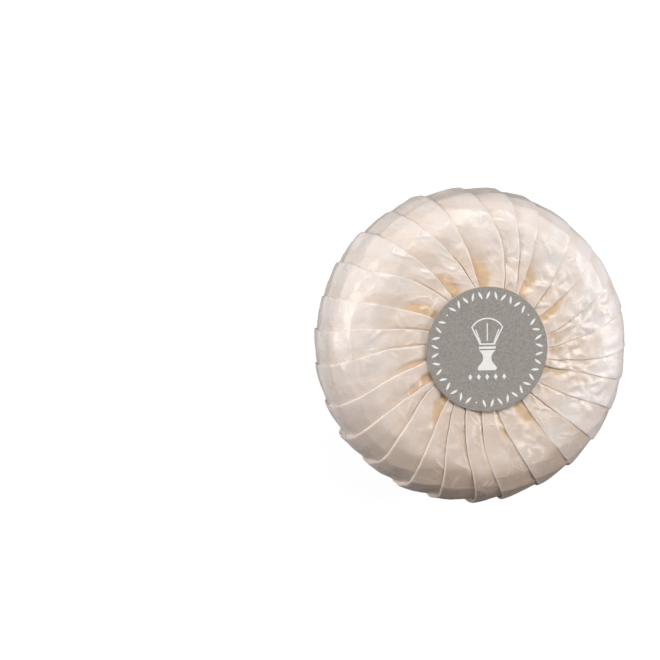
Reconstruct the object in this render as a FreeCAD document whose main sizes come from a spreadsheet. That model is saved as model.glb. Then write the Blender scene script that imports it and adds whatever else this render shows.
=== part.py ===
"""A shaving soap puck in its pleated paper wrapper, closed by a round paper seal.

Millimetres. The puck lies on its smooth back: +Z runs up along its axis through the seal, the origin is the
centre of the resting face, and +Y points to the top of the seal's print.

Pieces: the soap cake, the one-sheet wrapper whose knife pleats run up the side and across the top to a
small opening, the seal's adhesive film, the seal's paper disc, and the two prints on it.
"""

import FreeCAD, Part

import math
import os

import Sketcher
from FreeCAD import Vector

# Driving dimensions: alias, value in mm (or degrees, or a count), and what it is.
DIMENSIONS = (
    ("soap_diameter", 62.5, "soap cake, across the mould line at half its height"),
    ("soap_height", 23.4, "soap cake, face to face"),
    ("soap_corner", 7.0, "radius that rounds the cake from face to side"),
    ("soap_draft", 8.0, "angle at which each half of the side leans in from the mould line"),
    ("clearance", 0.05, "air between cake and paper"),
    ("sheet", 0.35, "paper stack of the wrapper, creases included"),
    ("opening_radius", 5.0, "hole left where the pleats gather"),
    ("pleat_count", 27, "pleats round the puck"),
    ("pleat_height", 0.5, "how far a fold stands above the sheet"),
    ("pleat_width", 8.5, "angle that one fold covers, of its 13.3 degree pitch"),
    ("pleat_swirl", 24.0, "angle a fold turns from the side to the opening"),
    ("first_fold", 1.0, "angle of the first fold where it runs up the side"),
    ("seal_diameter", 25.0, "round paper seal"),
    ("seal_sheet", 0.12, "paper of the seal"),
    ("glue_film", 0.03, "adhesive under the seal"),
    ("ink_film", 0.02, "print on the seal"),
    ("border_inset", 1.7, "middle of the printed border, in from the seal's edge"),
    ("leaf_length", 1.75, "one leaf of the border"),
    ("leaf_width", 0.5, "one leaf of the border"),
)

# The printed border: three runs of leaves with a dot between them. Start angle, end angle, leaves.
BORDER_RUNS = ((38.0, 140.0, 11), (140.0, 258.0, 12), (258.0, 398.0, 15))
LEAF_TILT = 24.0
DOT_RADIUS = 0.16

# The emblem is a shaving brush: handle profile as (half width, height), and its fan of hair.
HANDLE_PROFILE = ((1.75, -4.2), (1.95, -3.8), (1.2, -2.7), (0.85, -1.7), (1.3, -0.6), (1.75, -0.2))
COLLAR = (1.75, 0.1, 0.55)
KNOT_FOOT = (1.55, 0.9)
KNOT_SHOULDER = (3.3, 4.4)
KNOT_TOP = 6.3
STROKE = 0.28
HAIR_ANGLES = (-22.0, 0.0, 22.0)
HAIR_SPAN = (1.7, 5.2)
LOZENGE_ROW = (-5.5, 1.75, 5)
LOZENGE_HALF = (0.42, 0.62)

# A fold is lofted through this many sections, with its foot sunk into the skin.
# It begins low on the rounded bottom corner, at this lean from level.
LOFT_SECTIONS = 24
FOLD_ROOT = 0.15
FOLD_START = -50.0


def make_sheet(doc):
    """The spreadsheet of driving dimensions, one alias a row."""
    sheet = doc.addObject("Spreadsheet::Sheet", "dims")
    for row, (alias, value, note) in enumerate(DIMENSIONS, start=1):
        sheet.set(f"A{row}", note)
        sheet.set(f"B{row}", str(value))
        sheet.setAlias(f"B{row}", alias)
    doc.recompute()
    return sheet


def origin_plane(body, role):
    """One of a body's own origin planes."""
    return next(f for f in body.Origin.OriginFeatures if f.Role == role)


def new_body(doc, name, height):
    """An empty body raised to a height, which is an expression."""
    body = doc.addObject("PartDesign::Body", name)
    body.Label = name
    body.setExpression("Placement.Base.z", height)
    return body


def new_sketch(body, name, role):
    """A sketch on one of the body's origin planes."""
    sketch = body.newObject("Sketcher::SketchObject", name)
    sketch.AttachmentSupport = (origin_plane(body, role), [""])
    sketch.MapMode = "FlatFace"
    return sketch


def bind(sketch, constraint, expression):
    """Adds a constraint and ties its value to the sheet."""
    index = sketch.addConstraint(constraint)
    sketch.setExpression(f"Constraints[{index}]", expression)


def disc_sketch(body, name, grow):
    """Half the section of the cake about its mid plane, with every face moved out by an expression.

    Each face is flat, a corner radius turns into the side, and the side leans in from the mould line.
    """
    sketch = new_sketch(body, name, "XZ_Plane")
    r, h, c, lean = 31.0, 12.0, 7.0, math.radians(8.0)
    across = r - (c + (h - c) * math.sin(lean)) / math.cos(lean)
    reach = Vector(c * math.cos(lean), c * math.sin(lean), 0)
    up = Vector(0, 0, 1)
    low, high = Vector(across, c - h, 0), Vector(across, h - c, 0)
    equator = Vector(r, 0, 0)
    sketch.addGeometry(
        [
            Part.LineSegment(Vector(0, -h, 0), Vector(across, -h, 0)),
            Part.ArcOfCircle(Part.Circle(low, up, c), -math.pi / 2, -lean),
            Part.LineSegment(low + Vector(reach.x, -reach.y, 0), equator),
            Part.LineSegment(equator, high + reach),
            Part.ArcOfCircle(Part.Circle(high, up, c), lean, math.pi / 2),
            Part.LineSegment(Vector(across, h, 0), Vector(0, h, 0)),
            Part.LineSegment(Vector(0, h, 0), Vector(0, -h, 0)),
        ],
        False,
    )
    start, end, centre, x_axis, y_axis = 1, 2, 3, -1, -2
    for first in (0, 1, 3, 4):
        sketch.addConstraint(Sketcher.Constraint("Tangent", first, end, first + 1, start))
    for first, second in ((2, 3), (5, 6), (6, 0)):
        sketch.addConstraint(Sketcher.Constraint("Coincident", first, end, second, start))
    sketch.addConstraint(Sketcher.Constraint("Horizontal", 0))
    sketch.addConstraint(Sketcher.Constraint("Horizontal", 5))
    sketch.addConstraint(Sketcher.Constraint("PointOnObject", 3, start, x_axis))
    sketch.addConstraint(Sketcher.Constraint("PointOnObject", 6, start, y_axis))
    sketch.addConstraint(Sketcher.Constraint("Symmetric", 6, start, 6, end, -1, 1))
    sketch.addConstraint(Sketcher.Constraint("Symmetric", 1, centre, 4, centre, x_axis))
    bind(sketch, Sketcher.Constraint("Radius", 4, c), f"dims.soap_corner + {grow}")
    bind(sketch, Sketcher.Constraint("DistanceX", -1, 1, 3, start, r), f"dims.soap_diameter / 2 + {grow}")
    bind(sketch, Sketcher.Constraint("DistanceY", -1, 1, 6, start, h), f"dims.soap_height / 2 + {grow}")
    bind(sketch, Sketcher.Constraint("Angle", 3, math.pi / 2 + lean), "(90 + dims.soap_draft) * 1 deg")
    return sketch


def circle_sketch(body, name, radius):
    """A circle on the body's XY plane, about its origin."""
    sketch = new_sketch(body, name, "XY_Plane")
    circle = sketch.addGeometry(Part.Circle(Vector(0, 0, 0), Vector(0, 0, 1), 5.0), False)
    sketch.addConstraint(Sketcher.Constraint("Coincident", circle, 3, -1, 1))
    bind(sketch, Sketcher.Constraint("Radius", circle, 5.0), radius)
    return sketch


def turn(body, kind, name, sketch):
    """A Revolution or a Groove of the sketch, all the way round the body's axis."""
    feature = body.newObject(f"PartDesign::{kind}", name)
    feature.Profile = sketch
    feature.ReferenceAxis = (sketch, ["V_Axis"])
    feature.Angle = 360.0
    return feature


# Heights shared by the bodies, as expressions of the sheet.
MID = "dims.sheet + dims.clearance + dims.soap_height / 2"
TOP = "2 * dims.sheet + 2 * dims.clearance + dims.soap_height"
GLUE_BOTTOM = f"{TOP} + dims.pleat_height"
SEAL_BOTTOM = f"{GLUE_BOTTOM} + dims.glue_film"
INK_BOTTOM = f"{SEAL_BOTTOM} + dims.seal_sheet"


def make_soap(doc):
    """The soap cake, pressed between two dies that meet at the mould line round its side."""
    body = new_body(doc, "soap_puck", MID)
    turn(body, "Revolution", "soap_turned", disc_sketch(body, "soap_section", "0"))
    return body


def make_skin(doc):
    """The wrapper's sheet without its folds: a skin round the cake, open at the middle of the top."""
    body = new_body(doc, "wrapper_skin", MID)
    outer = disc_sketch(body, "wrapper_outside", "dims.clearance + dims.sheet")
    turn(body, "Revolution", "wrapper_blank", outer)
    inner = disc_sketch(body, "wrapper_inside", "dims.clearance")
    turn(body, "Groove", "wrapper_hollow", inner)
    doc.recompute()
    mouth = circle_sketch(body, "wrapper_mouth", "dims.opening_radius")
    pocket = body.newObject("PartDesign::Pocket", "wrapper_opening")
    pocket.Profile = mouth
    pocket.Type = "Length"
    pocket.setExpression("Length", "dims.soap_height")
    pocket.Reversed = True
    return body


def fold_path(dims, share):
    """A place on the wrapper's outside along a fold, as its radius, its height and how far outward leans up.

    Share 0 is low on the rounded bottom corner, and 1 is just outside the opening on top. Between them lie
    the bottom corner, the two leaning halves of the side, the top corner and the flat top.
    """
    grow = dims.clearance + dims.sheet
    corner = dims.soap_corner + grow
    half = dims.soap_height / 2 + grow
    draft = math.radians(dims.soap_draft)
    equator = dims.soap_diameter / 2 + grow
    core = equator - (corner + (half - corner) * math.sin(draft)) / math.cos(draft)
    rise = half - corner + corner * math.sin(draft)
    bottom_arc = corner * (math.radians(-FOLD_START) - draft)
    side = 2 * rise / math.cos(draft)
    top_arc = corner * (math.pi / 2 - draft)
    flat = core - dims.opening_radius - 0.5

    walked = share * (bottom_arc + side + top_arc + flat)
    if walked < bottom_arc:
        lean = math.radians(FOLD_START) + walked / corner
        return core + corner * math.cos(lean), corner * (1 + math.sin(lean)), lean
    walked -= bottom_arc
    if walked < side:
        above = (2 * walked / side - 1) * rise
        return equator - abs(above) * math.tan(draft), half + above, draft * above / rise
    walked -= side
    if walked < top_arc:
        lean = draft + walked / corner
        return core + corner * math.cos(lean), 2 * half - corner * (1 - math.sin(lean)), lean
    return core - (walked - top_arc), 2 * half, math.pi / 2


def fold_section(dims, share):
    """The closed triangle of one fold at a share of its length: crest, sheer drop and gentle slope."""
    radius, height, lean = fold_path(dims, share)
    side = dims.soap_diameter / 2
    inward = (side - radius) / (side - dims.opening_radius)
    turned = dims.first_fold - dims.pleat_swirl * max(0.0, inward)
    grown = min(1.0, 3.0 * share)
    pressed = 1.0 - 0.15 * max(0.0, inward)

    def at(angle, lift):
        r = radius + math.cos(lean) * lift
        around = math.radians(turned + angle)
        return Vector(r * math.cos(around), r * math.sin(around), height + math.sin(lean) * lift)

    crest = at(0.0, dims.pleat_height * grown * pressed)
    foot = at(0.0, -FOLD_ROOT)
    toe = at(dims.pleat_width, -FOLD_ROOT)
    return Part.makePolygon([crest, foot, toe, crest])


def make_wrapper(doc, dims):
    """The wrapper: its skin joined with the folds, which swirl from the side to the opening."""
    skin = make_skin(doc)
    sections = [fold_section(dims, k / (LOFT_SECTIONS - 1)) for k in range(LOFT_SECTIONS)]
    fold = Part.makeLoft(sections, True, False)
    count = int(dims.pleat_count)
    copies = []
    for k in range(count):
        copy = fold.copy()
        copy.rotate(Vector(0, 0, 0), Vector(0, 0, 1), 360.0 * k / count)
        copies.append(copy)
    folds = doc.addObject("Part::Feature", "wrapper_folds")
    folds.Label = "wrapper_folds"
    folds.Shape = Part.makeCompound(copies)
    wrapper = doc.addObject("Part::Fuse", "pleated_wrapper")
    wrapper.Label = "pleated_wrapper"
    wrapper.Base = skin
    wrapper.Tool = folds
    wrapper.Refine = False
    return wrapper


def make_disc(doc, name, bottom, thickness):
    """A disc of the seal's diameter, padded up from a height. Both sizes are expressions."""
    body = new_body(doc, name, bottom)
    pad = body.newObject("PartDesign::Pad", f"{name}_pad")
    pad.Profile = circle_sketch(body, f"{name}_outline", "dims.seal_diameter / 2")
    pad.setExpression("Length", thickness)
    return body


def leaf_face(length, width):
    """A leaf: two arcs that meet in a point at each end, standing up along Y."""
    tip, foot = Vector(0, length / 2, 0), Vector(0, -length / 2, 0)
    right = Part.Arc(foot, Vector(width / 2, 0, 0), tip).toShape()
    left = Part.Arc(tip, Vector(-width / 2, 0, 0), foot).toShape()
    return Part.Face(Part.Wire([right, left]))


def dot_face(x, y, radius):
    """A round dot."""
    circle = Part.Circle(Vector(x, y, 0), Vector(0, 0, 1), radius)
    return Part.Face(Part.Wire([circle.toShape()]))


def border_faces(dims):
    """The leaves and dots of the printed border, flat at height 0."""
    faces = []
    ring = dims.seal_diameter / 2 - dims.border_inset
    for start, end, leaves in BORDER_RUNS:
        step = (end - start) / (leaves + 1)
        first = math.radians(start)
        faces.append(dot_face(ring * math.cos(first), ring * math.sin(first), DOT_RADIUS))
        for k in range(1, leaves + 1):
            angle = start + k * step
            tilt = LEAF_TILT if k % 2 else -LEAF_TILT
            leaf = leaf_face(dims.leaf_length, dims.leaf_width)
            leaf.rotate(Vector(0, 0, 0), Vector(0, 0, 1), tilt)
            leaf.translate(Vector(0, ring, 0))
            leaf.rotate(Vector(0, 0, 0), Vector(0, 0, 1), angle - 90.0)
            faces.append(leaf)
    return faces


def mirrored_outline(points):
    """The right side's points followed by their mirror images, as a smooth curve each and straight ends."""
    right = [Vector(x, y, 0) for x, y in points]
    left = [Vector(-x, y, 0) for x, y in reversed(points)]
    edges = []
    for side in (right, left):
        curve = Part.BSplineCurve()
        curve.interpolate(side)
        edges.append(curve.toShape())
    top = Part.makeLine(right[-1], left[0])
    bottom = Part.makeLine(left[-1], right[0])
    return Part.Face(Part.Wire([edges[0], top, edges[1], bottom]))


def knot_face(inset):
    """The brush's fan of hair, shrunk by an inset: straight sides and a domed top."""
    foot = Vector(KNOT_FOOT[0] - inset, KNOT_FOOT[1] + inset, 0)
    shoulder = Vector(KNOT_SHOULDER[0] - inset, KNOT_SHOULDER[1], 0)
    mirror_foot = Vector(-foot.x, foot.y, 0)
    mirror_shoulder = Vector(-shoulder.x, shoulder.y, 0)
    dome = Part.Arc(shoulder, Vector(0, KNOT_TOP - inset, 0), mirror_shoulder).toShape()
    sides = (
        Part.makeLine(foot, shoulder),
        dome,
        Part.makeLine(mirror_shoulder, mirror_foot),
        Part.makeLine(mirror_foot, foot),
    )
    return Part.Face(Part.Wire(list(sides)))


def rectangle_face(half_width, low, high):
    """An upright rectangle about the Y axis."""
    corners = ((-half_width, low), (half_width, low), (half_width, high), (-half_width, high))
    points = [Vector(x, y, 0) for x, y in corners]
    return Part.Face(Part.makePolygon([*points, points[0]]))


def lozenge_face(x, y):
    """A small upright lozenge."""
    wide, tall = LOZENGE_HALF
    corners = ((x + wide, y), (x, y + tall), (x - wide, y), (x, y - tall))
    points = [Vector(px, py, 0) for px, py in corners]
    return Part.Face(Part.makePolygon([*points, points[0]]))


def emblem_faces():
    """A shaving brush over a row of lozenges, flat at height 0."""
    faces = [mirrored_outline(HANDLE_PROFILE), rectangle_face(*COLLAR)]
    faces.append(knot_face(0.0).cut(knot_face(STROKE)).Faces[0])
    for angle in HAIR_ANGLES:
        hair = rectangle_face(STROKE / 2.6, HAIR_SPAN[0], HAIR_SPAN[1] - abs(angle) / 30)
        hair.rotate(Vector(0, -2, 0), Vector(0, 0, 1), angle)
        faces.append(hair)
    row, pitch, count = LOZENGE_ROW
    for k in range(count):
        faces.append(lozenge_face((k - (count - 1) / 2) * pitch, row))
    return faces


def make_print(doc, name, faces):
    """Ink laid on the seal: the flat outlines extruded by the thickness of the ink film."""
    outlines = doc.addObject("Part::Feature", f"{name}_outlines")
    outlines.Shape = Part.makeCompound(faces)
    ink = doc.addObject("Part::Extrusion", name)
    ink.Label = name
    ink.Base = outlines
    ink.DirMode = "Custom"
    ink.Dir = Vector(0, 0, 1)
    ink.Solid = True
    ink.setExpression("LengthFwd", "dims.ink_film")
    ink.setExpression("Placement.Base.z", INK_BOTTOM)
    return ink


def check(doc, nodes):
    """Stops the build on any failed object, loose sketch or bad shape."""
    for item in doc.Objects:
        if {"Invalid", "Error"} & set(item.State):
            raise RuntimeError(f"{item.Label} failed: {item.State}")
        if item.isDerivedFrom("Sketcher::SketchObject") and not item.FullyConstrained:
            raise RuntimeError(f"{item.Label} is not fully constrained")
    for node in nodes:
        if node.Shape.isNull() or not node.Shape.isValid():
            raise RuntimeError(f"{node.Label} has no valid shape")


def main():
    doc = FreeCAD.newDocument("shaving_soap_puck")
    dims = make_sheet(doc)
    soap = make_soap(doc)
    wrapper = make_wrapper(doc, dims)
    adhesive = make_disc(doc, "seal_adhesive", GLUE_BOTTOM, "dims.glue_film")
    label = make_disc(doc, "seal_label", SEAL_BOTTOM, "dims.seal_sheet")
    border = make_print(doc, "seal_border_print", border_faces(dims))
    emblem = make_print(doc, "seal_emblem_print", emblem_faces())
    doc.recompute()
    nodes = (soap, wrapper, adhesive, label, border, emblem)
    check(doc, nodes)
    os.makedirs("parts", exist_ok=True)
    for node in nodes:
        node.Shape.exportStep(f"parts/{node.Label}.step")
        box = node.Shape.optimalBoundingBox()
        print(
            f"{node.Label}: {len(node.Shape.Solids)} solid(s), {node.Shape.Volume / 1000:.3f} cm3,"
            f" z {box.ZMin:.3f} to {box.ZMax:.3f}, x {box.XMin:.2f} to {box.XMax:.2f}"
        )


main()
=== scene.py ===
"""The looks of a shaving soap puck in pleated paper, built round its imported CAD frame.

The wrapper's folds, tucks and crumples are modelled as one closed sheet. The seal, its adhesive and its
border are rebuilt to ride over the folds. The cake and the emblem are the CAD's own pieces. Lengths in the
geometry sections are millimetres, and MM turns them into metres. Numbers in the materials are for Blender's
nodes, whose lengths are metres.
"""

import math

import bpy
import numpy as np
from mathutils import Matrix, Vector


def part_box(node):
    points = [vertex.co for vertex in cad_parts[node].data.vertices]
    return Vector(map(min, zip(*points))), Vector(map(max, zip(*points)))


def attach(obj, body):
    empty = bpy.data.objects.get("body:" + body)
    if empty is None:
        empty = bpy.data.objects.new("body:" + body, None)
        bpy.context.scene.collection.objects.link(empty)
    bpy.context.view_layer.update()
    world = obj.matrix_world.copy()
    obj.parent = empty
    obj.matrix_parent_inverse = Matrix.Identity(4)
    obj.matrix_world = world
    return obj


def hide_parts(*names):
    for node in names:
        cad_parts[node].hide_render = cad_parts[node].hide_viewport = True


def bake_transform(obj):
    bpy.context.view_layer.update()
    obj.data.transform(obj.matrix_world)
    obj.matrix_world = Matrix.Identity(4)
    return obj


MM = 0.001
TAU = 2 * math.pi

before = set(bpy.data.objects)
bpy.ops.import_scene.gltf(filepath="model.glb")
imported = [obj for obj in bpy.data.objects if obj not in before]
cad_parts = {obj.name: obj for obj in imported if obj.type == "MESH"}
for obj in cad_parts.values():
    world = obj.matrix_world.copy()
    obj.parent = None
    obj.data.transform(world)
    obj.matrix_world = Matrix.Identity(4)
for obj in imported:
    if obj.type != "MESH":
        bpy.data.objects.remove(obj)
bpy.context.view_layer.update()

SOAP_LOW, SOAP_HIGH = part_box("soap_puck")
SEAL_LOW, SEAL_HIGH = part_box("seal_label")
GLUE_LOW, GLUE_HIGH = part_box("seal_adhesive")
SOAP_RADIUS = SOAP_HIGH.x / MM
SOAP_TOP = SOAP_HIGH.z / MM
SOAP_MIDDLE = (SOAP_HIGH.z + SOAP_LOW.z) / 2 / MM
SEAL_RADIUS = SEAL_HIGH.x / MM


# ---------------------------------------------------------------- small maths


def smooth(low, high, x):
    """0 below low, 1 above high, and a soft ramp between. Low may be above high."""
    t = np.clip((x - low) / (high - low), 0.0, 1.0)
    return t * t * (3 - 2 * t)


def bump(centre, width, x):
    """A soft hill of height 1 at the centre that ends at plus and minus the width."""
    return smooth(width, 0.0, np.abs(x - centre))


def triangle(x):
    """A zigzag between -1 and 1 with a period of 1."""
    return 4 * np.abs(x - np.floor(x + 0.5)) - 1


def around(angle, *stops):
    """A value that changes with direction.

    The angle is in radians, and the stops are (degrees, value) pairs round the circle.
    """
    degrees, values = zip(*stops)
    return np.interp(np.degrees(angle) % 360, degrees, values, period=360)


def value_noise(x, y, seed):
    """Smooth noise between -1 and 1 that changes over one unit of x and y."""
    size = 64
    table = np.random.default_rng(seed).uniform(-1, 1, (size, size))
    x0, y0 = np.floor(x).astype(int), np.floor(y).astype(int)
    fx, fy = x - x0, y - y0
    fx, fy = fx * fx * (3 - 2 * fx), fy * fy * (3 - 2 * fy)
    x0, y0, x1, y1 = x0 % size, y0 % size, (x0 + 1) % size, (y0 + 1) % size
    low = table[x0, y0] * (1 - fx) + table[x1, y0] * fx
    high = table[x0, y1] * (1 - fx) + table[x1, y1] * fx
    return low * (1 - fy) + high * fy


# ---------------------------------------------------------------- the cake's outline under the paper

# Each half of the cake's side leans in from the mould line, and a corner radius turns it into the face.
# A walk, with names that begin with S_, is the distance along the paper from the middle of the top.
DRAFT = math.radians(8.0)
CORNER = 7.1
SKIN_TOP = 0.08
SKIN_SIDE = 0.1
SKIN_BOTTOM = SOAP_LOW.z / MM
HALF = SOAP_TOP - SOAP_MIDDLE + SKIN_TOP
EQUATOR = SOAP_RADIUS + SKIN_SIDE
CORE = EQUATOR - (CORNER + (HALF - CORNER) * math.sin(DRAFT)) / math.cos(DRAFT)
RISE = HALF - CORNER + CORNER * math.sin(DRAFT)
TOP_ARC = CORNER * (math.pi / 2 - DRAFT)
SIDE = 2 * RISE / math.cos(DRAFT)
S_SHOULDER = CORE
S_SIDE = CORE + TOP_ARC
S_EQUATOR = S_SIDE + SIDE / 2
S_LOW_CORNER = S_SIDE + SIDE
S_BACK = S_LOW_CORNER + TOP_ARC


def skin(s):
    """The paper's place a walk of s from the middle of the top.

    Returns the radius, the height and how far the outward direction leans up, in radians.
    """
    s = np.asarray(s, float)
    down = np.clip(s - S_SHOULDER, 0, TOP_ARC) / CORNER
    lean_top = math.pi / 2 - down
    above = (1 - 2 * np.clip(s - S_SIDE, 0, SIDE) / SIDE) * RISE
    under = np.clip(s - S_LOW_CORNER, 0, TOP_ARC) / CORNER
    lean_low = -DRAFT - under
    radius = np.where(
        s <= S_SHOULDER,
        s,
        np.where(
            s <= S_SIDE,
            CORE + CORNER * np.cos(lean_top),
            np.where(
                s <= S_LOW_CORNER,
                EQUATOR - np.abs(above) * math.tan(DRAFT),
                np.where(s <= S_BACK, CORE + CORNER * np.cos(lean_low), CORE - (s - S_BACK)),
            ),
        ),
    )
    top = SOAP_MIDDLE + HALF
    low = SOAP_MIDDLE - HALF
    height = np.where(
        s <= S_SIDE,
        top - CORNER * (1 - np.sin(lean_top)),
        np.where(s <= S_LOW_CORNER, SOAP_MIDDLE + above, low + CORNER * (1 + np.sin(lean_low))),
    )
    lean = np.where(s <= S_SIDE, lean_top, np.where(s <= S_LOW_CORNER, DRAFT * above / RISE, lean_low))
    return radius, height, lean


# The flats that taut paper makes on the rounded corners, from one lean to the next, in degrees.
FLATS = ((-30.0, -8.0), (8.0, 30.0), (30.0, 70.0), (70.0, 90.0))


def taut_facets(lean, shift):
    """How far paper stretched between the cake's edges stands off its rounded corner.

    The lean there is in radians. The shift, in degrees, moves the creases between the flats.
    """
    degrees = np.degrees(lean) + shift * smooth(8.0, 25.0, np.degrees(lean))
    off = np.zeros_like(degrees)
    for low, high in FLATS:
        middle, half = (low + high) / 2, (high - low) / 2
        inside = (degrees > low) & (degrees <= high)
        away = np.radians(half - np.abs(degrees - middle))
        off = np.where(inside, CORNER * (1 / np.cos(away) - 1), off)
    return off


# ---------------------------------------------------------------- the pleats

PLEATS = 27
PITCH = TAU / PLEATS
FIRST_FOLD = math.radians(1.0)
OPENING = 5.4
S_PLEATS_END = S_LOW_CORNER + 0.55 * TOP_ARC
# The pleats flatten out over this walk before they end.
FADE_LENGTH = 7.0
# Points across a pleat's slope, not counting those under the next fold.
SLOPE_COLUMNS = 20
FOLD_HEIGHT = 0.55
# A fold's thickness at its edge, how far the paper runs in under it, and the air left below the adhesive.
LIP = 0.3
TUCK = 0.35
SEAL_GAP = 0.02

# How much of the paper on the side shows a second layer.
SIDE_DOUBLED = 0.8

# Directions, in degrees round the seal, where neighbouring folds part and leave an open pocket beside it.
POCKETS = (19, 50, 84, 110, 135, 203, 223, 262, 300, 331)

# Places on the flat face, in millimetres, where the paper buckled into a star: (x, y, creases, height).
STARS = (
    (19.1, 4.4, 7, 0.30),
    (22.8, 8.5, 5, 0.20),
    (17.5, -3.5, 5, 0.26),
    (21.0, -9.5, 6, 0.24),
    (14.2, 12.5, 5, 0.24),
    (9.0, -19.5, 5, 0.20),
    (3.5, 18.5, 6, 0.26),
    (-8.0, 15.5, 5, 0.20),
    (-15.5, -9.5, 5, 0.12),
)

pleat_draw = np.random.default_rng(11)


def fold_rows():
    """The walks at which the pleated sheet has rows of points, closer together where it is seen best."""
    bands = (
        (OPENING, SEAL_RADIUS - 0.6, 7),
        (SEAL_RADIUS - 0.6, S_SHOULDER, 34),
        (S_SHOULDER, S_SIDE, 31),
        (S_SIDE, S_LOW_CORNER, 22),
        (S_LOW_CORNER, S_PLEATS_END, 9),
    )
    parts = [np.linspace(low, high, count, endpoint=False) for low, high, count in bands]
    return np.concatenate([*parts, [S_PLEATS_END]])


def parting(angle):
    """How far a fold moves away from the pockets on either side of it, in radians."""
    moved = np.zeros_like(angle)
    furthest = 0.32 * PITCH
    for pocket in POCKETS:
        away = (angle - math.radians(pocket) + math.pi) % TAU - math.pi
        moved += furthest * np.tanh(6 * away / PITCH) * smooth(1.1 * PITCH, 0.5 * PITCH, np.abs(away))
    return moved


def draw_pleats():
    """The hand-folded character of each pleat, as arrays with one value a pleat.

    side: the fold's angle on the side. swirl, late, bunch: how far, how late and how unevenly it turns on its
    way in. relief, gather, tip: its height on the flat, beside the seal and at the rim. crumple: how strongly
    its paper is crumpled. flap: where its second layer ends. doubled: how much it shows a second layer, which
    also paints light by direction, whiter on the right as a painted sheen and darker at the bottom as painted
    shade. browned: how much painted shade darkens it, most at the bottom.
    taut, shift, slant: how strong, how low and how skewed the flats on the corners are.
    """
    side = FIRST_FOLD + np.arange(PLEATS) * PITCH + np.radians(pleat_draw.uniform(-1.1, 1.1, PLEATS))

    def vary(low, high):
        return pleat_draw.uniform(low, high, PLEATS)

    swirl = around(
        side, (20, 13), (90, 17), (150, 14), (222, 8.5), (262, 17), (286, 18), (300, 8), (320, 3), (345, 7)
    )
    relief = around(
        side, (20, 0.32), (60, 0.4), (95, 0.8), (130, 0.6), (170, 0.28), (215, 1.1), (265, 0.95), (290, 0.55),
        (335, 0.36),
    )
    crumple = around(
        side, (10, 0.75), (50, 0.65), (90, 0.45), (170, 0.55), (235, 0.4), (285, 0.5), (325, 0.65)
    )
    tip = around(
        side, (20, 0.7), (60, 0.6), (100, 1.3), (150, 1.5), (190, 1.2), (230, 2.2), (280, 2.0), (330, 1.3)
    )
    gather = around(side, (20, 0.6), (100, 0.85), (170, 0.6), (220, 0.8), (290, 0.52), (335, 0.4))
    # Second layers by direction, also painted light: whiter on the right as a painted sheen, none at the
    # bottom as painted shade.
    doubled_and_painted_light = around(
        side, (50, 0.9), (90, 0.45), (170, 0.72), (215, 0.35), (270, 0.0), (300, 0.25), (335, 1.0)
    )
    # Painted shade by direction: strongest at the bottom, where the paper faces away from the lights.
    painted_shade_side = around(side, (160, 0.0), (205, 0.35), (225, 0.6), (262, 1.0), (295, 0.7), (325, 0.0))
    return {
        "side": side,
        "swirl": np.radians(swirl + vary(-2, 2)),
        "late": vary(-0.35, 0.45),
        "bunch": parting(side - np.radians(swirl)) * vary(0.8, 1.2),
        "relief": relief * vary(0.75, 1.25),
        "crumple": crumple * vary(0.8, 1.2),
        "gather": gather,
        "flap": vary(0.5, 0.68),
        "tip": tip * vary(0.6, 1.25),
        "doubled_and_painted_light": doubled_and_painted_light,
        "painted_shade_side": painted_shade_side,
        "taut": vary(0.35, 0.85),
        "shift": vary(-11.0, 11.0),
        "slant": vary(-20.0, 20.0),
    }


def fold_angles(rows, pleats):
    """The angle of every fold edge at every row, as (row, pleat)."""
    radius, _, _ = skin(rows)
    inward = ((EQUATOR - radius) / (EQUATOR - SEAL_RADIUS))[:, None]
    inward = np.where(rows[:, None] < S_EQUATOR, inward, 0.0)
    turned = inward * (1 + pleats["late"] * (1 - inward))
    gathered = pleats["bunch"] * np.clip(inward, 0, 1) ** 1.5
    wave = value_noise(rows[:, None] / 7.0, np.arange(PLEATS) * 3.7, 5) * 0.3
    kink = value_noise(rows[:, None] / 2.5, np.arange(PLEATS) * 1.7, 6) * 0.1
    calm = smooth(S_LOW_CORNER, S_SIDE, rows)[:, None]
    wander = (wave + kink) * calm / np.maximum(radius, 9.0)[:, None]
    return pleats["side"] - pleats["swirl"] * turned + gathered + wander


# Crumples from large to small: how far apart their creases are, and how high they stand.
CRUMPLE_SIZES = ((8.0, 0.15), (5.0, 0.08), (3.1, 0.04))


def crumples(a, b, seed, spread):
    """Flat facets with crisp creases between them, over coordinates a and b. Height in millimetres.

    The creases turn at most the spread, in degrees, from straight across a.
    """
    total = np.zeros_like(a)
    rng = np.random.default_rng(seed)
    for wavelength, size in CRUMPLE_SIZES:
        for _ in range(2):
            way = math.radians(rng.uniform(-spread, spread))
            length = wavelength * rng.uniform(0.8, 1.3)
            phase = rng.uniform(0, 1)
            bend = 0.35 * value_noise(a / 6.0 + phase * 20, b / 6.0, seed)
            total += size * triangle((a * math.cos(way) + b * math.sin(way)) / length + phase + bend)
    return total


def stars(x, y):
    """Creases that radiate from the places where the paper buckled.

    Returns the height in millimetres, and where the creases are as 0 to 1.
    """
    total, lines = np.zeros_like(x), np.zeros_like(x)
    for number, (at_x, at_y, spokes, size) in enumerate(STARS):
        away = np.hypot(x - at_x, y - at_y)
        turn = np.arctan2(y - at_y, x - at_x) / TAU + 0.06 * value_noise(away / 2.0, 0 * away, number)
        fold = triangle(spokes * turn)
        reach = smooth(7.0, 2.5, away)
        highest_at = 2.2
        total += size * fold * np.minimum(away, highest_at) / highest_at * reach
        width = 0.25 * 4 * spokes / TAU / np.maximum(away, 0.5)
        lines = np.maximum(lines, smooth(1 - width, 1 - 0.3 * width, fold) * reach)
    return total, lines


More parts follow.
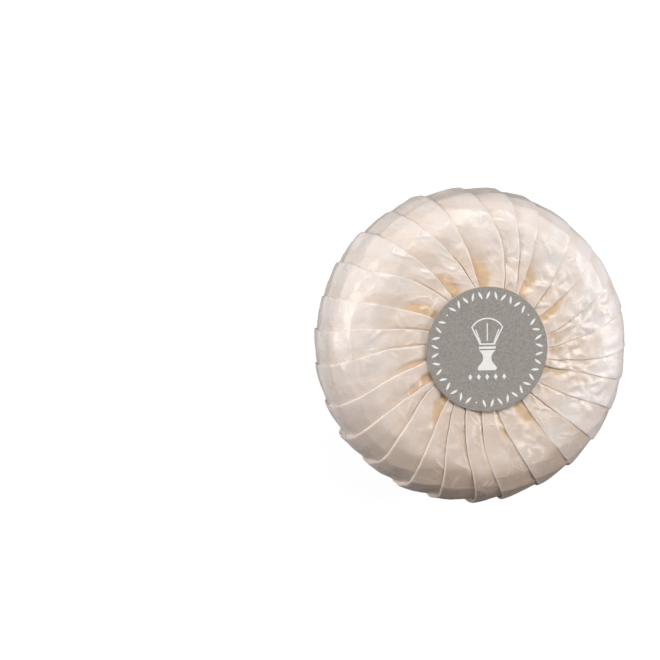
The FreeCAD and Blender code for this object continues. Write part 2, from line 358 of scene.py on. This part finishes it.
def pinches(s, across, pleat):
    """A few thin raised wrinkles on a pleat, where the paper was caught and pressed.

    Returns the height in millimetres, and where the wrinkles are as 0 to 1.
    """
    rng = np.random.default_rng(700 + pleat)
    total, lines = np.zeros_like(s), np.zeros_like(s)
    highest = 0.32
    for _ in range(rng.integers(5, 11)):
        at_s = SEAL_RADIUS + 1 + (S_SHOULDER + 3 - SEAL_RADIUS) * rng.uniform(0, 1) ** 1.7
        at_across = rng.uniform(0.5, 5.0)
        way = math.radians(rng.uniform(25, 155))
        curl = rng.uniform(-0.12, 0.12)
        length = rng.uniform(1.2, 4.0)
        size = rng.uniform(0.12, highest)
        x = (s - at_s) * math.cos(way) + (across - at_across) * math.sin(way)
        y = -(s - at_s) * math.sin(way) + (across - at_across) * math.cos(way) - curl * x * x
        reach = smooth(length, length * 0.3, np.abs(x))
        total += size * np.exp(-((y / 0.28) ** 2)) * reach
        lines = np.maximum(lines, np.exp(-((y / 0.16) ** 2)) * reach * size / highest)
    return total, lines


def slope_height(u, s, pleats, ripple, width):
    """How high a pleat's paper lies across its width u, before wrinkles, as (row, pleat, column).

    Width is the pleat's angle as a share of the pitch. Returns the height of its crest, the height across it,
    how near the seal it is as 0 to 1, and where an open pocket's floor is as 0 to 1.
    """
    per = {name: values[None, :, None] for name, values in pleats.items()}
    near = smooth(23.0, 14.5, s)
    rim = smooth(S_SHOULDER + 5, S_SIDE + 2, s)
    fade = smooth(S_PLEATS_END, S_PLEATS_END - FADE_LENGTH, s)
    crest = per["relief"] * (1 - near) * (1 - rim) + per["gather"] * near + 0.85 * per["tip"] * rim
    crest = FOLD_HEIGHT * crest * ripple * fade
    saw = 1 - (0.75 + 0.2 * rim) * u**1.2 - 0.08 * smooth(per["flap"] - 0.04, per["flap"] + 0.04, u)
    rounded = 1 - 0.10 * smooth(0.07, 0.0, u)
    pocket = smooth(0.95, 1.4, width) * bump(15.0, 7.0, s)
    hollow = 0.15 + 0.5 * pocket
    sunk = smooth(1 - hollow, 1 - 0.45 * hollow, u)
    tent = 1 - 0.2 * u - 0.8 * sunk
    return crest, crest * (saw * rounded * (1 - near) + tent * near), near, pocket * sunk


def pleated_sheet():
    """The outer face of the pleated paper: points as (row, column, xyz), and shading as (row, column).

    A pleat's columns run from its fold edge down its slope, then on under the next pleat's edge and back out
    along that edge's underside, so that every fold really overlaps the paper beside it.
    """
    rows = fold_rows()
    radius, height, lean = skin(rows)
    pleats = draw_pleats()
    edge = fold_angles(rows, pleats)
    following = np.concatenate([edge[:, 1:], edge[:, :1] + TAU], axis=1)
    u = (np.linspace(0, 1, SLOPE_COLUMNS, endpoint=False) ** 1.15)[None, None, :]
    s = rows[:, None, None]
    r = radius[:, None, None]
    number = np.arange(PLEATS)
    ripple = 1 + 0.3 * value_noise(rows[:, None] / 4.0, number * 5.3, 9)[:, :, None]
    width = (following - edge)[:, :, None]
    crest, lift, near, pocket = slope_height(u, s, pleats, ripple, width / PITCH)

    across = u * width * r
    turn = edge[:, :, None] + u * width
    x, y = s * np.cos(turn), s * np.sin(turn)
    wrinkles, lines = stars(x, y)
    wrinkles += 0.8 * crumples(x, y, 90, 90)
    for k in range(PLEATS):
        place = np.broadcast_to(s[:, 0], across[:, k].shape), across[:, k]
        ridge, ridge_line = pinches(*place, k)
        wrinkles[:, k] += 0.9 * crumples(*place, 100 + k, 60) + ridge
        lines[:, k] = np.maximum(lines[:, k], ridge_line)
    settle = smooth(0.0, 0.15, u) * smooth(1.0, 0.8, u)
    fade = smooth(S_PLEATS_END, S_PLEATS_END - FADE_LENGTH, s)
    smoothed = 1 - 0.45 * smooth(S_SHOULDER - 2.0, S_SIDE, s)
    wrinkles = wrinkles * pleats["crumple"][None, :, None] * (0.4 + 0.6 * settle) * smoothed * fade
    shift = pleats["shift"][None, :, None] + pleats["slant"][None, :, None] * (u - 0.5)
    facet = pleats["taut"][None, :, None] * taut_facets(lean[:, None, None] + 0 * turn, shift)
    top = np.maximum(lift + wrinkles, 0.0) + facet

    lip_rise = np.concatenate([top[:, 1:, :1], top[:, :1, :1]], axis=1)
    floor = top[:, :, -1:]
    gap = np.maximum(lip_rise - floor, 0.0)
    open_up = smooth(0.03, 0.25, gap)
    thick = np.minimum(LIP, 0.8 * gap)
    tuck = TUCK * open_up
    under = [
        (0.55 * tuck, floor * 0.97),
        (tuck, floor * 0.97 + 0.1 * gap),
        (0.5 * tuck, lip_rise - thick),
        (-0.03 * open_up, lip_rise - 0.8 * thick),
        (-0.07 * open_up, lip_rise - 0.35 * thick),
    ]
    # Where the fold lies flat these columns share out the strip beside it instead, so that none of them meet.
    strip = (1 - u[0, 0, -1]) * width * (1 - open_up)
    share = np.arange(1, len(under) + 1) / (len(under) + 1) - 1
    tucked = [following[:, :, None] + along / r + strip * part for (along, _), part in zip(under, share)]
    angle = np.concatenate([turn] + tucked, axis=2)
    top = np.concatenate([top] + [np.broadcast_to(rise, floor.shape) for _, rise in under], axis=2)

    under_seal = GLUE_LOW.z / MM - SEAL_GAP - height[:, None, None]
    top = np.where(s < SEAL_RADIUS + 0.4, np.minimum(top, under_seal), top)
    ragged = 0.6 * value_noise(number[None, :, None] * 1.9, angle * 0.0, 33) * smooth(9.0, 5.4, s)
    out_r = r + ragged + np.cos(lean)[:, None, None] * top
    out_z = height[:, None, None] + np.sin(lean)[:, None, None] * top
    points = np.stack([out_r * np.cos(angle), out_r * np.sin(angle), out_z], axis=3)

    under_it = [np.zeros_like(floor)] * len(under)
    lines = np.concatenate([0.75 * lines * fade, *under_it], axis=2)
    facet, pocket = (np.concatenate([a] + [a[:, :, -1:]] * len(under), axis=2) for a in (facet, pocket))
    whole = np.broadcast_to(np.concatenate([u[0, 0], np.ones(len(under))]), top.shape)
    cloud = value_noise(out_r * np.cos(angle) / 5.0, out_r * np.sin(angle) / 5.0, 21)
    flap = pleats["flap"][None, :, None] + 0.08 * cloud
    on_top = smooth(S_EQUATOR, S_SIDE - 2.0, s)
    doubled_and_painted_light = SIDE_DOUBLED * (1 - on_top) + pleats["doubled_and_painted_light"][None, :, None] * on_top
    # Second layers whiten the paper; on the top their amount also carries the painted sheen on the right and
    # painted shade at the bottom.
    layered_and_painted_light = 0.75 * doubled_and_painted_light * smooth(17.0, 26.0, s + 3.0 * cloud)
    # Where the painted shade on the bottom shoulder grows strong.
    low_rim = smooth(S_SHOULDER - 1.5, S_SHOULDER + 3.0, s + 1.5 * cloud)
    # How far the paper sinks below its crest, for the painted warm shade in hollows.
    sunk = np.clip(1 - (top - facet) / np.maximum(crest, 0.3), 0, 1)
    shading = {
        "layers_and_painted_light": 0.25 * smooth(flap + 0.12, flap - 0.12, whole) + layered_and_painted_light,
        # Whitened creases along fold edges and wrinkles, with a painted highlight along them.
        "crease_and_highlight": np.maximum(smooth(0.07, 0.0, whole) * smooth(0.05, 0.5, crest), lines),
        # Painted warm shade, deepest in sunken paper beside the seal and on the floors of open pockets.
        "hollow_shade": sunk * 0.7 * near + 0.7 * pocket,
        # Painted shade: dark on the bottom shoulder, and faint over the lower part of the flat face.
        "shade": pleats["painted_shade_side"][None, :, None] * (0.17 + 0.66 * low_rim) * on_top,
        "crumple": np.broadcast_to(pleats["crumple"][None, :, None], top.shape),
    }
    # The step face under each fold edge gets the light crease colour too, a painted light in the fold's
    # shadow.
    shading["crease_and_highlight"][:, :, -2:] = smooth(0.05, 0.5, crest)
    columns = PLEATS * (SLOPE_COLUMNS + len(under))
    flat = {name: np.asarray(value).reshape(len(rows), columns) for name, value in shading.items()}
    return rows, points.reshape(len(rows), columns, 3), flat


# How much of the flat back's radius the last ring before its middle point has walked.
BACK_REACH = 0.93


def smooth_back(points, rows):
    """Rows that carry the sheet on from the last pleated row: the plain lower corner and the flat back."""
    ring = points[-1]
    angle = np.unwrap(np.arctan2(ring[:, 1], ring[:, 0]))
    round_corner = np.linspace(rows[-1], S_BACK, 6)[1:]
    walks = np.concatenate([round_corner, S_BACK + CORE * np.array([0.06, 0.3, 0.65, BACK_REACH])])
    radius, height, _ = skin(walks)
    sunk = smooth(S_LOW_CORNER, S_BACK, walks)[:, None]
    z = height[:, None] * np.ones_like(angle) - (SKIN_BOTTOM - SKIN_TOP) * sunk
    return np.stack([radius[:, None] * np.cos(angle), radius[:, None] * np.sin(angle), z], axis=2)


def inner_face(angle):
    """The paper's inside, a close skin over the cake, from the back to the opening."""
    on_back = S_BACK + BACK_REACH * CORE
    walks = np.array([on_back, S_BACK, S_LOW_CORNER, S_EQUATOR, S_SIDE, S_SIDE - 4, S_SHOULDER, OPENING])
    radius, height, lean = skin(walks)
    air = 0.04
    inset = SKIN_TOP - air
    r = (radius - inset * np.cos(lean))[:, None]
    z = (height - inset * np.sin(lean))[:, None] + 0 * angle
    return np.stack([r * np.cos(angle), r * np.sin(angle), z], axis=2)


def build_mesh(name, points, quads, rings):
    """A smooth-shaded mesh from points in millimetres and quads of point numbers.

    The rings are (point numbers, flip) pairs, each closed with a fan of triangles.
    """
    vertices = [tuple(p) for p in points * MM]
    faces = [tuple(q) for q in quads]
    for ring, flip in rings:
        hub = len(vertices)
        vertices.append(tuple(np.mean(points[ring], axis=0) * MM))
        for a, b in zip(ring, np.roll(ring, -1)):
            faces.append((int(b), int(a), hub) if flip else (int(a), int(b), hub))
    mesh = bpy.data.meshes.new(name)
    mesh.from_pydata(vertices, [], faces)
    mesh.validate()
    mesh.polygons.foreach_set("use_smooth", np.ones(len(mesh.polygons), bool))
    return mesh


def ring_quads(row_count, columns):
    """Quads between neighbouring rows of a grid whose columns go all the way round."""
    row = np.arange(row_count - 1)
    nxt = row + 1
    col = np.arange(columns)
    right = (col + 1) % columns
    a = row[:, None] * columns + col[None, :]
    b = row[:, None] * columns + right[None, :]
    c = nxt[:, None] * columns + right[None, :]
    d = nxt[:, None] * columns + col[None, :]
    return np.stack([a, d, c, b], axis=2).reshape(-1, 4)


def add_attribute(mesh, name, values):
    """A value for every point of a mesh, for its material to read."""
    attribute = mesh.attributes.new(name, "FLOAT", "POINT")
    attribute.data.foreach_set("value", np.asarray(values, np.float32))


def make_wrapper():
    """The pleated wrapper, as one closed sheet: pleated face, plain back and the inside against the cake."""
    rows, front, shading = pleated_sheet()
    back = smooth_back(front, rows)
    angle = np.linspace(0, TAU, front.shape[1], endpoint=False)
    angle = angle + math.atan2(front[0, 0, 1], front[0, 0, 0])
    inside = inner_face(angle[None, :])
    grid = np.concatenate([front, back], axis=0)
    columns = grid.shape[1]
    outer = ring_quads(len(grid), columns)
    inner = ring_quads(len(inside), columns) + len(grid) * columns
    ring = np.arange(columns)
    following = np.roll(ring, -1)
    last_outside = (len(grid) - 1) * columns
    first_inside = len(grid) * columns
    last_inside = (len(grid) + len(inside) - 1) * columns
    mouth = np.stack([last_inside + ring, ring, following, last_inside + following], axis=1)
    points = np.concatenate([grid.reshape(-1, 3), inside.reshape(-1, 3)])
    quads = np.concatenate([outer, inner, mouth])
    middles = [(last_outside + ring, True), (first_inside + ring, False)]
    mesh = build_mesh("wrapper_paper", points, quads, middles)
    for name, values in shading.items():
        full = np.zeros(len(mesh.vertices))
        full[: values.size] = values.ravel()
        add_attribute(mesh, name, full)
    piece = bpy.data.objects.new("wrapper_paper", mesh)
    bpy.context.scene.collection.objects.link(piece)
    mesh.materials.append(paper_material())
    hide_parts("pleated_wrapper")
    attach(piece, "wrapped_soap")


# ---------------------------------------------------------------- materials


class Nodes:
    """A short way to write a material's node tree."""

    def __init__(self, name):
        self.material = bpy.data.materials.new(name)
        self.material.use_nodes = True
        self.tree = self.material.node_tree
        self.shader = self.tree.nodes["Principled BSDF"]

    def add(self, kind, settings=None, **inputs):
        """A node, its properties from settings, and each named input set to a value or linked to a socket."""
        node = self.tree.nodes.new(kind)
        for key, value in (settings or {}).items():
            setattr(node, key, value)
        for key, value in inputs.items():
            self.put(node.inputs[key.replace("_", " ")], value)
        return node

    def put(self, socket, value):
        """Sets an input to a value, or links it to a socket."""
        if isinstance(value, bpy.types.NodeSocket):
            self.tree.links.new(value, socket)
        else:
            socket.default_value = value

    def set(self, **inputs):
        """Sets or links inputs of the Principled shader."""
        for key, value in inputs.items():
            self.put(self.shader.inputs[key.replace("_", " ")], value)

    def attribute(self, name):
        """A value that the mesh carries for every point."""
        return self.add("ShaderNodeAttribute", {"attribute_name": name}).outputs["Fac"]

    def noise(self, scale, detail=3.0, rough=0.55):
        """Noise over the object's own coordinates, with features about 1 / scale metres across."""
        place = self.add("ShaderNodeTexCoord").outputs["Object"]
        node = self.add("ShaderNodeTexNoise", None, Vector=place, Scale=scale, Detail=detail, Roughness=rough)
        return node.outputs["Fac"]

    def cells(self, scale, look, noise_scale, push):
        """The distance from a Voronoi texture whose cells noise pushes out of line, by up to push metres."""
        place = self.add("ShaderNodeTexCoord").outputs["Object"]
        noise = self.add("ShaderNodeTexNoise", None, Vector=place, Scale=noise_scale, Detail=2.0)
        moved = self.tree.nodes.new("ShaderNodeVectorMath")
        moved.operation = "MULTIPLY_ADD"
        self.put(moved.inputs[0], noise.outputs["Color"])
        moved.inputs[1].default_value = (push, push, push)
        self.put(moved.inputs[2], place)
        cells = self.add("ShaderNodeTexVoronoi", look, Vector=moved.outputs[0], Scale=scale)
        return cells.outputs["Distance"]

    def facets(self, scale):
        """Crumpled paper as a height: flat pyramids about 1 / scale metres across."""
        return self.cells(scale, {"feature": "F1", "distance": "CHEBYCHEV"}, 0.5 * scale, 1.2 / scale)

    def creases(self, scale, width):
        """A net of thin lines, 1 on a line and 0 off it, with cells about 1 / scale metres across."""
        edges = self.cells(scale, {"feature": "DISTANCE_TO_EDGE"}, 0.7 * scale, 0.9 / scale)
        line = self.ramp(edges, 0.0, width * scale, 1.0, 0.0)
        kept = self.ramp(self.noise(0.6 * scale, 2.0), 0.48, 0.62)
        return self.math("MULTIPLY", line, kept)

    def ramp(self, value, low, high, to_low=0.0, to_high=1.0):
        """A value mapped from one range to another and held at its ends."""
        ends = {"From_Min": low, "From_Max": high, "To_Min": to_low, "To_Max": to_high}
        return self.add("ShaderNodeMapRange", {"clamp": True}, Value=value, **ends).outputs["Result"]

    def math(self, operation, a, b):
        """A sum, product and so on of two values or sockets."""
        node = self.tree.nodes.new("ShaderNodeMath")
        node.operation = operation
        self.put(node.inputs[0], a)
        self.put(node.inputs[1], b)
        return node.outputs[0]

    def mix(self, factor, a, b):
        """A colour between a and b, each a colour or a socket."""
        node = self.tree.nodes.new("ShaderNodeMix")
        node.data_type = "RGBA"
        self.put(node.inputs["Factor"], factor)
        for key, value in ((6, a), (7, b)):
            self.put(node.inputs[key], value if isinstance(value, bpy.types.NodeSocket) else (*value, 1.0))
        return node.outputs[2]

    def bump(self, height, strength, distance, normal=None):
        """A normal bent by a height, on top of another normal if one is given."""
        node = self.add("ShaderNodeBump", None, Height=height, Strength=strength, Distance=distance)
        if normal is not None:
            self.put(node.inputs["Normal"], normal)
        return node.outputs["Normal"]


def paper_material():
    """Waxed wrapping paper, lightly glossy: warm in one layer over the soap, whiter where folds stack up.

    Its colour also holds painted light: painted warm shade in hollows and pockets, painted shade on the
    bottom shoulder, a whiter right side as painted sheen, and painted highlights along creases and fold
    edges.
    """
    m = Nodes("wrapper_paper")
    # single and double are the paper's own tones, fibres its grain; valley and shaded are painted shade, edge
    # is whitened crease with painted highlight.
    single, double = (0.81, 0.655, 0.54), (0.905, 0.835, 0.80)
    valley_shade, edge = (0.80, 0.54, 0.32), (0.93, 0.85, 0.79)
    shaded, fibres = (0.41, 0.29, 0.215), (0.52, 0.41, 0.33)
    # Whiter where the paper is doubled, which also paints a sheen on the right and shade at the bottom.
    color = m.mix(m.attribute("layers_and_painted_light"), single, double)
    # Painted warm shade in hollows and open pockets.
    painted_hollow_shade = m.ramp(m.attribute("hollow_shade"), 0.4, 1.0)
    color = m.mix(m.math("MULTIPLY", painted_hollow_shade, 0.9), color, valley_shade)
    # Painted shade on the bottom shoulder.
    color = m.mix(m.attribute("shade"), color, shaded)
    crumple = m.attribute("crumple")
    # Crease lines and fold edges: whiter creased paper, with painted highlights.
    lines = m.math("MULTIPLY", m.creases(300.0, 0.00015), m.ramp(crumple, 0.1, 0.6, 0.3, 1.0))
    color = m.mix(m.math("MULTIPLY", m.attribute("crease_and_highlight"), 0.7), color, edge)
    color = m.mix(m.math("MULTIPLY", lines, 0.34), color, edge)
    color = m.mix(m.ramp(m.noise(2600.0, 4.0, 0.7), 0.3, 0.7, 0.0, 0.10), color, fibres)
    rough = m.ramp(m.noise(420.0, 4.0), 0.3, 0.7, 0.24, 0.42)
    broad = m.bump(m.facets(300.0), m.ramp(crumple, 0.0, 1.0, 0.05, 0.16), 0.0012)
    ridged = m.bump(lines, 0.5, 0.0001, broad)
    crinkle = m.bump(m.noise(800.0, 4.0, 0.6), 0.35, 0.0003, ridged)
    m.set(Base_Color=color, Roughness=rough, Normal=crinkle, IOR=1.5, Coat_Weight=0.15, Coat_Roughness=0.18)
    m.set(Subsurface_Weight=0.2, Subsurface_Scale=0.0003, Subsurface_Radius=(1.0, 0.8, 0.6))
    return m.material


def soap_material():
    """Hard white shaving soap with faint milky clouds."""
    m = Nodes("soap_cream")
    cloud = m.ramp(m.noise(90.0, 3.0), 0.35, 0.65)
    color = m.mix(cloud, (0.86, 0.80, 0.66), (0.80, 0.72, 0.56))
    m.set(Base_Color=color, Roughness=m.ramp(m.noise(500.0), 0.3, 0.7, 0.38, 0.55))
    m.set(Normal=m.bump(m.noise(900.0, 3.0), 0.15, 0.0002))
    m.set(Subsurface_Weight=0.3, Subsurface_Scale=0.002)
    return m.material


def label_material():
    """Matte grey printed paper with a fine mottle, and the paper's own white at its cut edge."""
    m = Nodes("seal_paper")
    mottle = m.ramp(m.noise(2400.0, 3.0, 0.6), 0.3, 0.7)
    blotch = m.ramp(m.noise(240.0, 2.0), 0.3, 0.7, 0.0, 0.35)
    color = m.mix(mottle, (0.245, 0.222, 0.200), (0.395, 0.360, 0.327))
    color = m.mix(blotch, color, (0.34, 0.313, 0.287))
    color = m.mix(m.attribute("cut"), color, (0.62, 0.58, 0.54))
    m.set(Base_Color=color, Roughness=m.ramp(mottle, 0.0, 1.0, 0.52, 0.66))
    m.set(Normal=m.bump(m.noise(3200.0, 3.0), 0.25, 0.00006), IOR=1.45)
    return m.material


def ink_material():
    """Flat off-white ink, a little uneven where it lies on the paper's grain."""
    m = Nodes("seal_ink")
    uneven = m.ramp(m.noise(3000.0, 3.0), 0.35, 0.65)
    m.set(Base_Color=m.mix(uneven, (0.86, 0.82, 0.79), (0.93, 0.90, 0.87)), Roughness=0.6)
    m.set(Normal=m.bump(m.noise(3200.0, 3.0), 0.2, 0.00004))
    return m.material


def glue_material():
    """Clear pressure-sensitive adhesive over the paper's back: glossy, warm and slightly stippled."""
    m = Nodes("seal_glue")
    stipple = m.noise(1400.0, 3.0)
    m.set(Base_Color=m.mix(m.ramp(stipple, 0.35, 0.65), (0.74, 0.69, 0.60), (0.66, 0.60, 0.50)))
    m.set(Roughness=m.ramp(stipple, 0.35, 0.65, 0.18, 0.34), Coat_Weight=0.5, Coat_Roughness=0.15)
    m.set(Normal=m.bump(stipple, 0.35, 0.0001))
    return m.material


# ---------------------------------------------------------------- the seal


def seal_rise(x, y):
    """How the seal's edge rides over the folds beneath it, in millimetres. Its middle is flat."""
    r = np.hypot(x, y)
    angle = np.arctan2(y, x)
    flat_to, wave, swell, lift = 9.4, 0.035, 0.03, 0.045
    rim = smooth(flat_to, SEAL_RADIUS, r)
    folds = wave * np.cos(PLEATS * angle + 0.6 + 0.4 * np.sin(2 * angle))
    broad = swell * value_noise(3 + 2 * np.cos(angle), 3 + 2 * np.sin(angle), 41)
    return rim * (folds + broad + lift)


def peel(piece):
    """Bakes a piece of the seal's placement into its points."""
    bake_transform(piece)


def paper_disc(name, low, high, material):
    """A thin, finely divided round sheet between two heights, its rim rounded, riding over the folds."""
    middle = np.linspace(0.5, SEAL_RADIUS - 1.0, 24)
    rim = np.linspace(SEAL_RADIUS - 0.75, SEAL_RADIUS, 5)[:-1]
    radii = [*middle, *rim]
    round_off = min(0.03, (high - low) / 3)
    columns = 144
    angle = np.linspace(0, TAU, columns, endpoint=False)
    outline = [(r, high) for r in radii] + [(SEAL_RADIUS - round_off, high), (SEAL_RADIUS, high - round_off)]
    outline += [(SEAL_RADIUS, low + round_off), (SEAL_RADIUS - round_off, low)]
    outline += [(r, low) for r in radii[::-1]]
    r, z = np.array(outline).T
    x, y = r[:, None] * np.cos(angle), r[:, None] * np.sin(angle)
    points = np.stack([x, y, z[:, None] + seal_rise(x, y)], axis=2)
    quads = ring_quads(len(r), columns)
    start = np.arange(columns)
    end = (len(r) - 1) * columns + start
    mesh = build_mesh(name, points.reshape(-1, 3), quads, [(start, False), (end, True)])
    cut = np.zeros(len(mesh.vertices))
    cut[: points[:, :, 0].size] = np.repeat(((z < high) & (z > low)).astype(float), columns)
    add_attribute(mesh, "cut", cut)
    mesh.materials.append(material)
    piece = bpy.data.objects.new(name, mesh)
    bpy.context.scene.collection.objects.link(piece)
    return piece


def border_copy(material):
    """The printed border, from the CAD's own leaves and dots, laid over the seal's rim."""
    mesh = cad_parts["seal_border_print"].data.copy()
    mesh.name = "seal_border_ink"
    mesh.materials.clear()
    mesh.materials.append(material)
    place = np.zeros(len(mesh.vertices) * 3)
    mesh.vertices.foreach_get("co", place)
    place = place.reshape(-1, 3)
    place[:, 2] += seal_rise(place[:, 0] / MM, place[:, 1] / MM) * MM
    mesh.vertices.foreach_set("co", place.ravel())
    mesh.update()
    piece = bpy.data.objects.new("seal_border_ink", mesh)
    bpy.context.scene.collection.objects.link(piece)
    return piece


def make_seal():
    """The seal's paper, adhesive and border, each standing for its CAD node."""
    label = paper_disc("seal_paper_disc", SEAL_LOW.z / MM, SEAL_HIGH.z / MM, label_material())
    glue = paper_disc("seal_glue_film", GLUE_LOW.z / MM, GLUE_HIGH.z / MM, glue_material())
    border = border_copy(ink_material())
    for piece, node, slot in (
        (label, "seal_label", "seal_paper"),
        (glue, "seal_adhesive", "adhesive"),
        (border, "seal_border_print", "ink"),
    ):
        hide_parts(node)
        peel(piece)


def dress_cad_nodes():
    """Materials for the CAD's own cake and emblem."""
    for node, material in (("soap_puck", soap_material()), ("seal_emblem_print", ink_material())):
        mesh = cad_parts[node].data
        mesh.materials.clear()
        mesh.materials.append(material)


# ---------------------------------------------------------------- stage, light and camera


def make_floor():
    """A plain floor just under the puck: white to the camera, but dim, so it throws little light back."""
    half, drop = 2.5, -0.05 * MM
    corners = [(x * half, y * half, drop) for x, y in ((-1, -1), (1, -1), (1, 1), (-1, 1))]
    mesh = bpy.data.meshes.new("floor")
    mesh.from_pydata(corners, [], [(0, 1, 2, 3)])
    floor = bpy.data.objects.new("floor", mesh)
    bpy.context.scene.collection.objects.link(floor)
    material = bpy.data.materials.new("floor")
    material.use_nodes = True
    shader = material.node_tree.nodes["Principled BSDF"]
    grey, glow = 0.15, 0.93
    shader.inputs["Base Color"].default_value = (grey, grey, grey, 1)
    shader.inputs["Roughness"].default_value = 0.7
    path = material.node_tree.nodes.new("ShaderNodeLightPath")
    scale = material.node_tree.nodes.new("ShaderNodeMath")
    scale.operation = "MULTIPLY"
    scale.inputs[1].default_value = glow
    material.node_tree.links.new(path.outputs["Is Camera Ray"], scale.inputs[0])
    material.node_tree.links.new(scale.outputs[0], shader.inputs["Emission Strength"])
    shader.inputs["Emission Color"].default_value = (1, 1, 1, 1)
    mesh.materials.append(material)


def softbox(name, place, size, power):
    """A rectangular studio light that faces the puck, placed and sized in metres, its power in watts."""
    data = bpy.data.lights.new(name, "AREA")
    data.shape = "RECTANGLE"
    data.size, data.size_y = size
    data.energy = power
    light = bpy.data.objects.new(name, data)
    light.location = place
    light.rotation_mode = "QUATERNION"
    target = Vector((0, 0, 0.015))
    light.rotation_quaternion = (Vector(place) - target).to_track_quat("Z", "Y")
    bpy.context.scene.collection.objects.link(light)


def make_lights():
    """A broad soft box in front, a lower one on each side, a weak one at the foot, and a pale surround.

    The surround is white to the camera but lights the puck only a little.
    """
    softbox("box_front", (0.10, 0.64, 0.89), (0.5, 0.5), 6.8)
    softbox("box_right", (0.54, 0.08, 0.40), (0.25, 0.35), 2.3)
    softbox("box_left", (-0.62, 0.12, 0.19), (0.45, 0.45), 3.6)
    softbox("box_foot", (0.05, -0.62, 0.06), (0.6, 0.1), 0.7)
    world = bpy.data.worlds.new("surround")
    world.use_nodes = True
    tree = world.node_tree
    back = tree.nodes["Background"]
    back.inputs["Color"].default_value = (1, 1, 1, 1)
    seen = tree.nodes.new("ShaderNodeLightPath")
    level = tree.nodes.new("ShaderNodeMapRange")
    surround_light, seen_white = 0.03, 1.0
    level.inputs["To Min"].default_value = surround_light
    level.inputs["To Max"].default_value = seen_white
    tree.links.new(seen.outputs["Is Camera Ray"], level.inputs["Value"])
    tree.links.new(level.outputs["Result"], back.inputs["Strength"])
    bpy.context.scene.world = world
    bpy.context.scene.view_settings.view_transform = "Standard"


def make_camera():
    """A long lens over the seal, a little to the left and above, with the puck to the right in the frame."""
    yaw, pitch = math.radians(15.5), math.radians(5.0)
    toward = Vector((-math.sin(yaw) * math.cos(pitch), math.sin(pitch), math.cos(yaw) * math.cos(pitch)))
    up = (Vector((0, 1, 0)) - toward * toward.y).normalized()
    right = up.cross(toward)
    middle = Vector((0, 0, SOAP_MIDDLE * MM))
    distance = 0.80
    camera = bpy.data.objects.new("camera", bpy.data.cameras.new("camera"))
    camera.data.sensor_width = 36.0
    camera.data.lens = 216.0
    camera.location = middle + toward * distance
    aim_left, aim_up = 28.3 * MM, 2.8 * MM
    aim = middle - right * aim_left + up * aim_up
    back = (camera.location - aim).normalized()
    side = up.cross(back).normalized()
    turn = Matrix((side, back.cross(side), back)).transposed()
    camera.rotation_mode = "QUATERNION"
    camera.rotation_quaternion = turn.to_quaternion()
    camera.data.clip_start, camera.data.clip_end = 0.01, 10.0
    bpy.context.scene.collection.objects.link(camera)
    bpy.context.scene.camera = camera


def main():
    """Builds the scene."""
    make_wrapper()
    make_seal()
    dress_cad_nodes()
    make_floor()
    make_lights()
    make_camera()


main()
